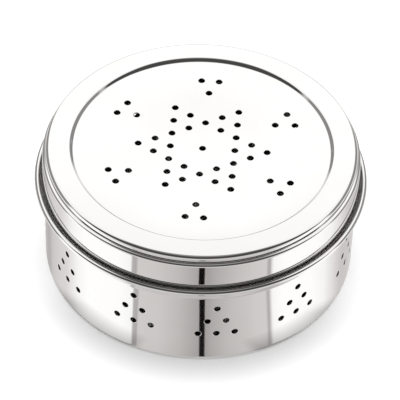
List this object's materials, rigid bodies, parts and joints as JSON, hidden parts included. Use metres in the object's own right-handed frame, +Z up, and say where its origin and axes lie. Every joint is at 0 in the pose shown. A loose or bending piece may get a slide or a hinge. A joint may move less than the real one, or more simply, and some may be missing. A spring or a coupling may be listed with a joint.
{
  "type": "spice box",
  "caption": "Round spice box of polished steel with a perforated drum, a perforated lift-off lid, loose round cups and a small spoon.",
  "frame": {"origin": "middle of the flat base, on the surface that the box stands on", "axes": "+Z up out of the lid, +X and +Y level; the box is seen in use from about -Y"},
  "size_m": [0.2, 0.2, 0.0862],
  "materials": {
    "box_steel": "mirror-polished stainless steel",
    "lid_steel": "mirror-polished stainless steel",
    "cup_steel": "bright drawn stainless steel",
    "spoon_steel": "bright pressed stainless steel"
  },
  "bodies": {
    "box": {"box_body": "box_steel"},
    "lid": {"lid": "lid_steel"},
    "cup_center": {"cup_center": "cup_steel"},
    "cup_1": {"cup_1": "cup_steel"},
    "cup_2": {"cup_2": "cup_steel"},
    "cup_3": {"cup_3": "cup_steel"},
    "cup_4": {"cup_4": "cup_steel"},
    "cup_5": {"cup_5": "cup_steel"},
    "cup_6": {"cup_6": "cup_steel"},
    "spoon": {"spoon": "spoon_steel"}
  },
  "joints": [
    {"name": "lid_lift", "type": "slide", "parent": "box", "child": "lid", "axis": [0, 0, 1], "range_m": [0, 0.12]},
    {"name": "cup_center_lift", "type": "slide", "parent": "box", "child": "cup_center", "axis": [0, 0, 1], "range_m": [0, 0.02]},
    {"name": "cup_1_lift", "type": "slide", "parent": "box", "child": "cup_1", "axis": [0, 0, 1], "range_m": [0, 0.035]},
    {"name": "cup_2_lift", "type": "slide", "parent": "box", "child": "cup_2", "axis": [0, 0, 1], "range_m": [0, 0.035]},
    {"name": "cup_3_lift", "type": "slide", "parent": "box", "child": "cup_3", "axis": [0, 0, 1], "range_m": [0, 0.035]},
    {"name": "cup_4_lift", "type": "slide", "parent": "box", "child": "cup_4", "axis": [0, 0, 1], "range_m": [0, 0.035]},
    {"name": "cup_5_lift", "type": "slide", "parent": "box", "child": "cup_5", "axis": [0, 0, 1], "range_m": [0, 0.035]},
    {"name": "cup_6_lift", "type": "slide", "parent": "box", "child": "cup_6", "axis": [0, 0, 1], "range_m": [0, 0.035]},
    {"name": "spoon_lift", "type": "slide", "parent": "cup_center", "child": "spoon", "axis": [0, 0, 1], "range_m": [0, 0.02]}
  ]
}
